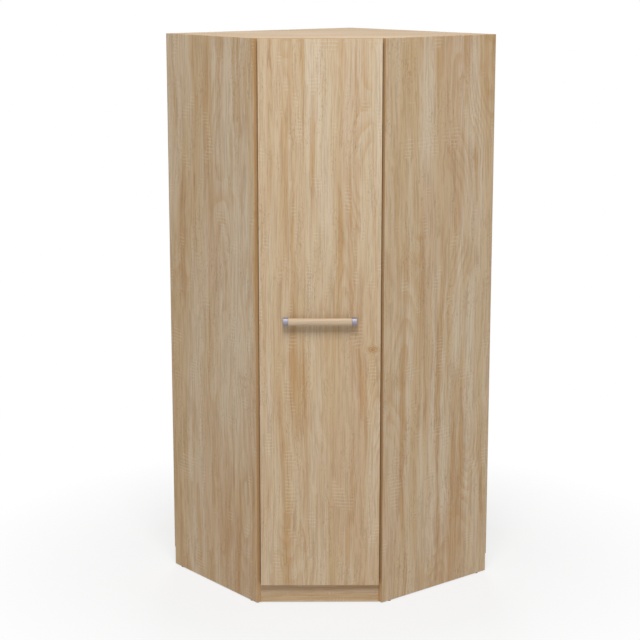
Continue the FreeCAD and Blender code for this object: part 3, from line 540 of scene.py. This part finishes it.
def knot_colour(finish, tone, reach, oak):
    """Amber heart and broken dark rings of a knot, laid over the pattern's colour."""
    place = finish.place()
    rag = strands(finish, place, oak.pore_width, oak.pore_run, KNOT_DETAIL, KNOT_RAG_SCALE)
    ragged = finish.sum("ADD", reach, rag)
    heart = finish.rest(finish.ease(ragged, *KNOT_HEART_STEP))
    waves = finish.sum("SINE", finish.times(ragged, math.tau * KNOT_RINGS))
    rings = finish.times(heart, finish.ease(waves, *KNOT_RING_STEP))
    tone = finish.tint(tone, oak.honey, heart, oak.knot_share)
    return finish.tint(tone, oak.umber, rings, oak.knot_share)


def with_painted_sheen(finish, tone, paleness, warmth, oak):
    """A colour with a painted sheen of the light from above that makes it paler towards the top, and warmer
    towards the floor.
    """
    high = finish.ease(finish.height(finish.place()), CAD_BOX[0].z, CAD_BOX[1].z)
    # Painted sheen: paler towards the top, where the light from above falls.
    tone = finish.tint(tone, oak.pale, high, paleness)
    return finish.tint(tone, oak.honey, finish.rest(high), warmth)


def oak_colour(finish, space, oak, knot=None, drift=None):
    """The oak pattern's colour, and the height of its fibres and saw marks."""
    grain = swayed(finish, space, oak)
    if knot:
        grain, reach = parted(finish, grain, knot, oak)
    tone = broad_tone(finish, grain, oak)
    # A drift paints a sheen of the light from above as paleness at the top, and warms the foot.
    if drift:
        tone = with_painted_sheen(finish, tone, *drift, oak)
    warm, line = warm_streaks(finish, grain, oak)
    fibres = strands(finish, grain, oak.fibre_width, oak.fibre_run, detail=FIBRE_DETAIL)
    marks = saw_marks(finish, space, oak)
    layers = (
        (oak.honey, growth_rings(finish, grain, oak), oak.flame_share),
        (oak.honey, warm, oak.streak_share),
        (oak.umber, line, oak.line_share),
        (oak.umber, pores(finish, grain, oak), oak.pore_share),
        (oak.umber, finish.ease(fibres, *FIBRE_STEP), oak.fibre_share),
        (oak.chalk, marks, oak.saw_share),
    )
    for layer in layers:
        tone = finish.tint(tone, *layer)
    if knot:
        tone = knot_colour(finish, tone, reach, oak)
    height = finish.sum("ADD", fibres, finish.times(marks, SAW_RELIEF))
    return tone, height


def warm_edges_and_gap_shade(finish, tone, turn, grain, oak):
    """A colour that is warmer and darker on a board's narrow edges than on its two faces: partly the edges'
    own tone, partly painted warm shade for the gaps between the door and the sides.
    """
    face = tuple(UP) if grain == "flat" else (-math.sin(turn), -math.cos(turn), 0)
    facing = finish.dot(finish.add("TexCoord", {}).outputs["Normal"], face)
    edge = finish.rest(finish.ease(finish.sum("ABSOLUTE", facing), *EDGE_STEP))
    # Partly painted shade: the narrow edges sit in the gaps, where shade falls.
    return finish.tint(tone, oak.honey, edge, oak.edge_warmth_and_gap_shade)


def oak_finish(board, oak, turn=0.0, grain="upright", stretch=1.0, knot=None):
    """Oak-pattern foil on a board whose grain runs upright, flat from left to right, or lying."""
    finish = Finish("oak_" + board, oak.roughness)
    space = grain_space(finish, turn, grain, SEEDS[board], stretch)
    tone, height = oak_colour(finish, space, oak, knot, PAINTED_SHEEN_AND_WARMTH.get(board))
    tone = warm_edges_and_gap_shade(finish, tone, turn, grain, oak)
    finish.bump(height, *OAK_RELIEF)
    return finish.done(tone, specular=OAK_GLOSS)


def bar_finish(oak):
    """Slightly glossy oak-pattern foil on the handle's bar, mixed with pale all over as a painted sheen."""
    finish = Finish("oak_handle", oak.roughness)
    tone, height = oak_colour(finish, grain_space(finish, 0.0, "lying", SEEDS["handle"]), oak)
    finish.bump(height, *FAINT_RELIEF)
    # Painted sheen: the whole bar is mixed toward the pale tone.
    return finish.done(finish.blend(oak.bar_sheen, tone, oak.pale), specular=BAR_GLOSS)


def clouds(finish, size, detail=CLOUD_DETAIL):
    """Smooth noise with features of one size in every direction."""
    return finish.noise(finish.place(), (size, size, size), detail)


def shaded(base, amount):
    """A colour made darker by an amount."""
    return tuple(value * (1 - amount) for value in base)


def speckled(finish, base, size, amount):
    """A base colour with fine irregular darker specks."""
    grains = finish.ease(clouds(finish, size), *SPECK_STEP)
    return finish.blend(grains, base, shaded(base, amount))


def metal_finish(name, base, roughness, streak):
    """Plated or satin metal with faint brushing along x."""
    finish = Finish(name, roughness, metallic=1.0)
    brushing = finish.noise(finish.place(), tuple(streak * scale for scale in BRUSH_SCALE))
    spread = {"Value": brushing, "To Min": roughness * SMOOTHEST, "To Max": roughness * ROUGHEST}
    rough = finish.add("MapRange", spread).outputs["Result"]
    finish.bump(brushing, *METAL_RELIEF)
    tone = finish.blend(finish.ease(brushing, *BRUSH_STEP), base, shaded(base, BRUSH_SHADE))
    return finish.done(tone, roughness=rough)


def skin_finish(name, base, roughness):
    """Moulded plastic or bare beech with a fine grained skin."""
    finish = Finish(name, roughness)
    finish.bump(clouds(finish, SKIN_SIZE, SKIN_DETAIL), *SKIN_RELIEF)
    return finish.done(speckled(finish, base, SPECK_SIZE, SPECK_SHADE))


def fibreboard_colour(finish, oak):
    """Pressed fibreboard: soft clouds, short fibres that lie both ways and fine dark specks."""
    tone = speckled(finish, oak.fibreboard, oak.pore_width, PULP_SPECKS)
    for size in (oak.flame_width, oak.streak_width):
        tone = finish.tint(tone, oak.umber, finish.ease(clouds(finish, size), *CLOUD_STEP), CLOUD_SHARE)
    upright = (oak.fibre_width, oak.fibre_width, oak.pore_run)
    lying = (oak.pore_run, oak.pore_run, oak.fibre_width)
    for size in (upright, lying):
        fibres = finish.ease(finish.noise(finish.place(), size), *PULP_STEP)
        tone = finish.tint(tone, oak.sand, fibres, PULP_SHARE)
    return tone


def sheet_finish(sheet, oak, outer):
    """Thin back sheet: oak print inside, plain brown fibreboard on the face toward the wall."""
    finish = Finish("oak_" + sheet, oak.roughness + SHEET_DULLNESS)
    wall = Vector(outer["axis"])
    space = grain_space(finish, across(outer["axis"]), "upright", SEEDS[sheet])
    tone, height = oak_colour(finish, space, oak)
    bare_from = wall.dot(Vector(outer["pos_m"])) - BARE_DEPTH
    outside = finish.sum("GREATER_THAN", finish.dot(finish.place(), tuple(wall)), bare_from)
    finish.bump(height, *FAINT_RELIEF)
    return finish.done(finish.blend(outside, tone, fibreboard_colour(finish, oak)))


def dress(material, *nodes):
    """Give CAD nodes one material."""
    for name in nodes:
        slots = frame["nodes"][name].data.materials
        slots.clear()
        slots.append(material)


def add_piece(name, mesh, material, node):
    """A new piece that stands for a CAD node and moves with its body."""
    piece = bpy.data.objects.new(name, mesh)
    bpy.context.scene.collection.objects.link(piece)
    mesh.materials.append(material)
    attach(piece, frame["nodes"][node]["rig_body"])
    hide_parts(node)


def meshed(name, form):
    """A mesh from a finished form."""
    mesh = bpy.data.meshes.new(name)
    form.to_mesh(mesh)
    form.free()
    return mesh


def shaped(name, form, crease):
    """A mesh from a finished form, smooth but for its creases, with its faces turned outward."""
    bmesh.ops.recalc_face_normals(form, faces=form.faces)
    for face in form.faces:
        face.smooth = True
    mesh = meshed(name, form)
    mesh.set_sharp_from_angle(angle=crease)
    return mesh


def joined_form(node):
    """A CAD node's form, with the points that lie on one spot joined."""
    form = bmesh.new()
    form.from_mesh(frame["nodes"][node].data)
    bmesh.ops.remove_doubles(form, verts=form.verts, dist=SAME_SPOT)
    return form


def add_soft_boards(material, softening, *nodes):
    """Boards with their outer edges rounded, in the place of square-edged ones."""
    for node in nodes:
        form = joined_form(node)
        bmesh.ops.dissolve_limit(form, angle_limit=FLAT_TURN, verts=form.verts, edges=form.edges)
        edges = [edge for edge in form.edges
                 if edge.calc_length() > LEAST_EDGE and edge.calc_face_angle_signed() > SHARP_TURN]
        for face in form.faces:
            face.smooth = False
        rounded = bmesh.ops.bevel(form, geom=edges, offset=softening, **ROUNDING)
        for face in rounded["faces"]:
            face.smooth = True
        name = node + "_soft"
        add_piece(name, meshed(name, form), material, node)


def centre(points):
    """The middle of some points."""
    return sum(points, Vector()) / len(points)


def islands(node):
    """The separate solids of a CAD node, each as a list of points, in the order of their places."""
    form = joined_form(node)
    waiting = dict.fromkeys(form.verts)
    found = []
    while waiting:
        reached = [waiting.popitem()[0]]
        for point in reached:
            for edge in point.link_edges:
                other = edge.other_vert(point)
                if other in waiting:
                    del waiting[other]
                    reached.append(other)
        found.append([point.co.copy() for point in reached])
    form.free()
    return sorted(found, key=lambda points: [round(value, SORT_DIGITS) for value in centre(points)])


def bowed_bar(form, low, high, bow, softening):
    """A bar along x whose front face is bowed from its lower to its upper edge."""
    half = (high.z - low.z) / 2
    radius = (half * half + bow * bow) / (2 * bow)
    reach = math.asin(half / radius)
    turns = [reach * (2 * step / BOW_STEPS - 1) for step in range(BOW_STEPS + 1)]
    middle = low.z + half
    section = [(low.y + radius * (1 - math.cos(turn)), middle + radius * math.sin(turn)) for turn in turns]
    section += [(high.y, high.z), (high.y, low.z)]
    ends = [[form.verts.new((x, y, z)) for y, z in section] for x in (low.x, high.x)]
    faces = [form.faces.new(end) for end in ends]
    for index, point in enumerate(ends[0]):
        pair = (ends[1][index], ends[1][index - 1])
        faces.append(form.faces.new((ends[0][index - 1], point, *pair)))
    bmesh.ops.recalc_face_normals(form, faces=faces)
    edges = dict.fromkeys(edge for face in faces for edge in face.edges)
    sharp = [edge for edge in edges if edge.calc_face_angle() > SHARP_TURN]
    bmesh.ops.bevel(form, geom=sharp, offset=softening, **ROUNDING)


def main_axis(points):
    """The direction in which points lie furthest apart, and their middle."""
    middle = centre(points)
    spread = Matrix(((0, 0, 0), (0, 0, 0), (0, 0, 0)))
    for point in points:
        away = point - middle
        spread += Matrix([[first * second for second in away] for first in away])
    axis = Vector(AXIS_START)
    for _ in range(AXIS_ROUNDS):
        axis = (spread @ axis).normalized()
    return axis, middle


def screw_measures(points):
    """Where a plain screw's head ends, which way it points, and its radii and lengths."""
    axis, middle = main_axis(points)
    heights = [(point - middle).dot(axis) for point in points]
    radii = [((point - middle) - axis * height).length for point, height in zip(points, heights)]
    low, high = min(heights), max(heights)
    ends = [max(radius for radius, height in zip(radii, heights) if abs(height - end) < SAME_LEVEL)
            for end in (low, high)]
    if ends[1] > ends[0]:
        axis, low, high = -axis, -high, -low
        heights = [-height for height in heights]
        ends.reverse()
    cap_end = max(height for radius, height in zip(radii, heights) if radius > max(ends) - SAME_LEVEL)
    return middle + axis * cap_end, axis, ends[0], cap_end - low, ends[1], high - cap_end


def ring(form, place, radius, height):
    """Points in a circle round the z axis, moved to their place."""
    turns = [math.tau * step / SCREW_SIDES for step in range(SCREW_SIDES)]
    circle = [Vector((radius * math.cos(turn), radius * math.sin(turn), height)) for turn in turns]
    return [form.verts.new(place @ point) for point in circle]


def band(form, first, second):
    """Faces between two closed rows of points."""
    for index, point in enumerate(first):
        form.faces.new((first[index - 1], point, second[index], second[index - 1]))


def cross_recess(form, place, rim, cap, head):
    """A driver's cross sunk into the flat of a screw head, inside its rim."""
    arm, half = cap * CROSS_ARM, cap * CROSS_HALF
    quarter = [(arm, -half), (arm, half), (half, half)]
    turned = [Matrix.Rotation(math.tau / CROSS_ARMS * step, 2) for step in range(CROSS_ARMS)]
    outline = [turn @ Vector(point) for turn in turned for point in quarter]
    mouth = [form.verts.new(place @ Vector((x, y, -head))) for x, y in outline]
    sunk = [Vector((x * CROSS_TAPER, y * CROSS_TAPER, -head * CROSS_FLOOR)) for x, y in outline]
    floor = [form.verts.new(place @ point) for point in sunk]
    band(form, mouth, floor)
    form.faces.new(floor)
    pairs = [(row[index - 1], row[index]) for row in (rim, mouth) for index in range(len(row))]
    edges = [form.edges.get(pair) for pair in pairs]
    bmesh.ops.triangle_fill(form, edges=edges, use_beauty=True)


def screw(form, measures, pitch):
    """A screw with a domed head, a driver's cross and a threaded shank, in a plain screw's place."""
    seat, axis, cap, head, shank, end = measures
    place = Matrix.Translation(seat) @ axis.to_track_quat("Z", "Y").to_matrix().to_4x4()
    root = shank * THREAD_ROOT
    profile = [(cap * radius, head * height) for radius, height in HEAD_DOME]
    turns = int((end - TIP_LENGTH * shank) / pitch)
    for turn in range(turns):
        profile += [(root, (turn + THREAD_VALLEY) * pitch), (shank, (turn + THREAD_CREST) * pitch)]
    profile += [(root, turns * pitch), (shank * TIP_RADIUS, end)]
    rows = [ring(form, place, radius, height) for radius, height in profile]
    for first, second in zip(rows, rows[1:]):
        band(form, first, second)
    form.faces.new(rows[-1])
    cross_recess(form, place, rows[0], cap, head)


def add_screws(node, material, pitch):
    """Detailed screws in the place of a node's plain ones."""
    form = bmesh.new()
    for points in islands(node):
        screw(form, screw_measures(points), pitch)
    add_piece(node + "_threaded", shaped(node, form, SHARP_TURN), material, node)


class WARDROBE_OT_boards(bpy.types.Operator):
    """Oak-pattern sides, top, bottom, shelf, plinth and corner post"""
    bl_idname = "wardrobe.boards"
    bl_label = "Dress the Boards"

    def execute(self, context):
        oak = context.scene.wardrobe_oak
        left_turn, right_turn, post_turn = [across(MOUNTS[name]["axis"]) for name in BOARD_FACES]
        boards = (
            (oak_finish("left", oak, left_turn, stretch=oak.side_stretch), ("left_side_panel",)),
            (oak_finish("right", oak, right_turn, stretch=oak.side_stretch), ("right_side_panel",)),
            (oak_finish("flat", oak, grain="flat"), ("top_panel", "bottom_panel", "hat_shelf")),
            (oak_finish("plinth", oak, grain="lying"), ("plinth_board",)),
            (oak_finish("post", oak, post_turn), ("rear_corner_post",)),
        )
        for material, nodes in boards:
            add_soft_boards(material, oak.softening, *nodes)
        return {"FINISHED"}


class WARDROBE_OT_back_sheets(bpy.types.Operator):
    """Thin printed sheets that close the back"""
    bl_idname = "wardrobe.back_sheets"
    bl_label = "Dress the Back Sheets"

    def execute(self, context):
        oak = context.scene.wardrobe_oak
        for side in ("left", "right"):
            sheet = side + "_back_panel"
            dress(sheet_finish(sheet, oak, MOUNTS[side + "_wall_face"]), sheet)
        return {"FINISHED"}


class WARDROBE_OT_door(bpy.types.Operator):
    """Oak-pattern door panel with one knot"""
    bl_idname = "wardrobe.door"
    bl_label = "Dress the Door"

    def execute(self, context):
        oak = context.scene.wardrobe_oak
        face = oak_finish("door", oak, knot=tuple(oak.knot_place))
        add_soft_boards(face, oak.softening, "door_panel")
        return {"FINISHED"}


class WARDROBE_OT_handle(bpy.types.Operator):
    """Bow handle: satin posts and an oak-pattern bar"""
    bl_idname = "wardrobe.handle"
    bl_label = "Dress the Handle"

    def execute(self, context):
        fittings = context.scene.wardrobe_fittings
        bar = bmesh.new()
        bowed_bar(bar, *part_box("handle_bar"), fittings.handle_bow, fittings.bar_softening)
        wood = bar_finish(context.scene.wardrobe_oak)
        add_piece("handle_bar_bowed", shaped("handle_bar_bowed", bar, CREASE), wood, "handle_bar")
        posts = bmesh.new()
        for points in islands("handle_posts"):
            low, high = [Vector([pick(values) for values in zip(*points)]) for pick in (min, max)]
            bowed_bar(posts, low, high, fittings.handle_bow, fittings.post_softening)
        satin = metal_finish("handle_satin", fittings.silver, fittings.silver_roughness, fittings.brushing)
        add_piece("handle_posts_soft", shaped("handle_posts_soft", posts, CREASE), satin, "handle_posts")
        return {"FINISHED"}


class WARDROBE_OT_rail(bpy.types.Operator):
    """Chrome hanging rail"""
    bl_idname = "wardrobe.rail"
    bl_label = "Dress the Rail"

    def execute(self, context):
        fittings = context.scene.wardrobe_fittings
        roughness = fittings.chrome_roughness
        chrome = metal_finish("rail_chrome", fittings.chrome, roughness, fittings.rail_brushing)
        dress(chrome, "hanging_rail")
        return {"FINISHED"}


class WARDROBE_OT_hinges(bpy.types.Operator):
    """Nickel hinges and wall angles"""
    bl_idname = "wardrobe.hinges"
    bl_label = "Dress the Hinges"

    def execute(self, context):
        fittings = context.scene.wardrobe_fittings
        nickel = metal_finish("hinge_nickel", fittings.nickel, fittings.nickel_roughness, fittings.brushing)
        dress(nickel, "hinge_plates", "hinge_arms", "hinge_cups", "hinge_pins", "wall_angles")
        return {"FINISHED"}


class WARDROBE_OT_fasteners(bpy.types.Operator):
    """Screws, nails, connectors and dowels"""
    bl_idname = "wardrobe.fasteners"
    bl_label = "Dress the Fasteners"

    def execute(self, context):
        fittings = context.scene.wardrobe_fittings
        zinc = metal_finish("fastener_zinc", fittings.zinc, fittings.zinc_roughness, fittings.brushing)
        for node in SCREW_NODES:
            add_screws(node, zinc, fittings.thread_pitch)
        dress(zinc, "back_panel_nails", "cam_bolts", "cam_housings")
        dress(skin_finish("dowel_beech", fittings.beech, fittings.beech_roughness), "wooden_dowels")
        return {"FINISHED"}


class WARDROBE_OT_plastics(bpy.types.Operator):
    """Glides, brackets, caps, blocks and door buffers"""
    bl_idname = "wardrobe.plastics"
    bl_label = "Dress the Plastics"

    def execute(self, context):
        fittings = context.scene.wardrobe_fittings
        dark = skin_finish("fitting_plastic", fittings.plastic, fittings.plastic_roughness)
        dress(dark, "floor_glides", "rail_end_caps", "rail_brackets", "plinth_blocks")
        dress(skin_finish("buffer_soft", fittings.buffer, fittings.buffer_roughness), "door_buffers")
        return {"FINISHED"}


def add_camera(stage):
    """The camera at the photograph's viewing angle."""
    data = bpy.data.cameras.new("camera")
    data.lens = stage.camera_lens
    data.shift_y = stage.camera_shift
    camera = bpy.data.objects.new("camera", data)
    camera.location = stage.camera_place
    camera.rotation_euler = (math.pi / 2 - stage.camera_pitch, 0, -stage.camera_turn)
    bpy.context.scene.collection.objects.link(camera)
    bpy.context.scene.camera = camera


def add_light(name, place, aim, power, size):
    """A square soft light that looks at a point."""
    data = bpy.data.lights.new(name, "AREA")
    data.energy = power
    data.size = size
    light = bpy.data.objects.new(name, data)
    light.location = place
    light.rotation_euler = (Vector(aim) - Vector(place)).to_track_quat("-Z", "Y").to_euler()
    bpy.context.scene.collection.objects.link(light)


def seen_directly(tree):
    """A value of 1 for what the camera sees directly, in a mirror or through glass."""
    path = tree.nodes.new("ShaderNodeLightPath")
    total = path.outputs["Is Camera Ray"]
    for name in ("Is Glossy Ray", "Is Transmission Ray"):
        larger = tree.nodes.new("ShaderNodeMath")
        larger.operation = "MAXIMUM"
        tree.links.new(total, larger.inputs[0])
        tree.links.new(path.outputs[name], larger.inputs[1])
        total = larger.outputs[0]
    return total


def add_sky(stage):
    """Even light from all sides, plain white behind the object."""
    world = bpy.data.worlds.new("sky")
    bpy.context.scene.world = world
    world.use_nodes = True
    tree = world.node_tree
    background = tree.nodes["Background"]
    background.inputs["Color"].default_value = WHITE
    strength = tree.nodes.new("ShaderNodeMapRange")
    strength.inputs["To Min"].default_value = stage.sky
    strength.inputs["To Max"].default_value = 1.0
    tree.links.new(seen_directly(tree), strength.inputs["Value"])
    tree.links.new(strength.outputs["Result"], background.inputs["Strength"])


def floor_material(stage):
    """A pale floor that keeps a faint shadow and otherwise shows as plain white."""
    finish = Finish("floor", stage.floor_roughness)
    finish.done(stage.floor)
    tree = finish.tree
    glow = finish.add("Emission", {"Color": WHITE, "Strength": 1.0})
    far = finish.sum("DIVIDE", finish.vector_length(finish.place()), stage.shadow_reach)
    fade = {"Value": far, "From Min": stage.shadow_core, "To Min": stage.floor_glow}
    white = finish.add("MapRange", fade).outputs["Result"]
    amount = finish.times(seen_directly(tree), white)
    mixed = finish.add("MixShader", {0: amount, 1: finish.shader.outputs[0], 2: glow.outputs[0]})
    tree.links.new(mixed.outputs[0], tree.nodes["Material Output"].inputs["Surface"])
    return finish.material


def add_floor(stage):
    """A wide plain floor on which the glides stand."""
    half = stage.floor_size / 2
    mesh = bpy.data.meshes.new("floor")
    corners = [(-half, -half, 0), (half, -half, 0), (half, half, 0), (-half, half, 0)]
    mesh.from_pydata(corners, [], [tuple(range(len(corners)))])
    mesh.materials.append(floor_material(stage))
    floor = bpy.data.objects.new("floor", mesh)
    bpy.context.scene.collection.objects.link(floor)


class WARDROBE_OT_stage(bpy.types.Operator):
    """Camera, soft lights, white surroundings and floor"""
    bl_idname = "wardrobe.stage"
    bl_label = "Set the Stage"

    def execute(self, context):
        stage = context.scene.wardrobe_stage
        context.scene.view_settings.view_transform = "Standard"
        middle = (CAD_BOX[0] + CAD_BOX[1]) / 2
        add_camera(stage)
        add_light("key", stage.key_place, middle + UP * stage.key_lift, stage.key_power, stage.key_size)
        add_light("back", stage.back_place, middle, stage.back_power, stage.back_size)
        add_sky(stage)
        add_floor(stage)
        return {"FINISHED"}


class WARDROBE_PT_panel(bpy.types.Panel):
    """Every step of dressing the wardrobe"""
    bl_idname = "WARDROBE_PT_panel"
    bl_label = "Corner Wardrobe"
    bl_space_type = "VIEW_3D"
    bl_region_type = "UI"
    bl_category = "Wardrobe"

    def draw(self, context):
        for operator in OPERATORS:
            self.layout.operator(operator.bl_idname)
        for group in SETTINGS:
            box = self.layout.box()
            for name in SETTINGS[group].__annotations__:
                box.prop(getattr(context.scene, group), name)


SETTINGS = {
    "wardrobe_oak": OakSettings,
    "wardrobe_fittings": FittingSettings,
    "wardrobe_stage": StageSettings,
}
OPERATORS = (
    WARDROBE_OT_boards,
    WARDROBE_OT_back_sheets,
    WARDROBE_OT_door,
    WARDROBE_OT_handle,
    WARDROBE_OT_rail,
    WARDROBE_OT_hinges,
    WARDROBE_OT_fasteners,
    WARDROBE_OT_plastics,
    WARDROBE_OT_stage,
)


def register():
    """Add the settings, operators and panel to Blender."""
    for name, group in SETTINGS.items():
        bpy.utils.register_class(group)
        setattr(bpy.types.Scene, name, PointerProperty(type=group))
    for operator in OPERATORS:
        bpy.utils.register_class(operator)
    bpy.utils.register_class(WARDROBE_PT_panel)


def unregister():
    """Take the settings, operators and panel out again."""
    bpy.utils.unregister_class(WARDROBE_PT_panel)
    for operator in reversed(OPERATORS):
        bpy.utils.unregister_class(operator)
    for name, group in SETTINGS.items():
        delattr(bpy.types.Scene, name)
        bpy.utils.unregister_class(group)


def main():
    """Dress the whole wardrobe."""
    register()
    for operator in OPERATORS:
        group, name = operator.bl_idname.split(".")
        getattr(getattr(bpy.ops, group), name)()


if __name__ == "__main__":
    main()
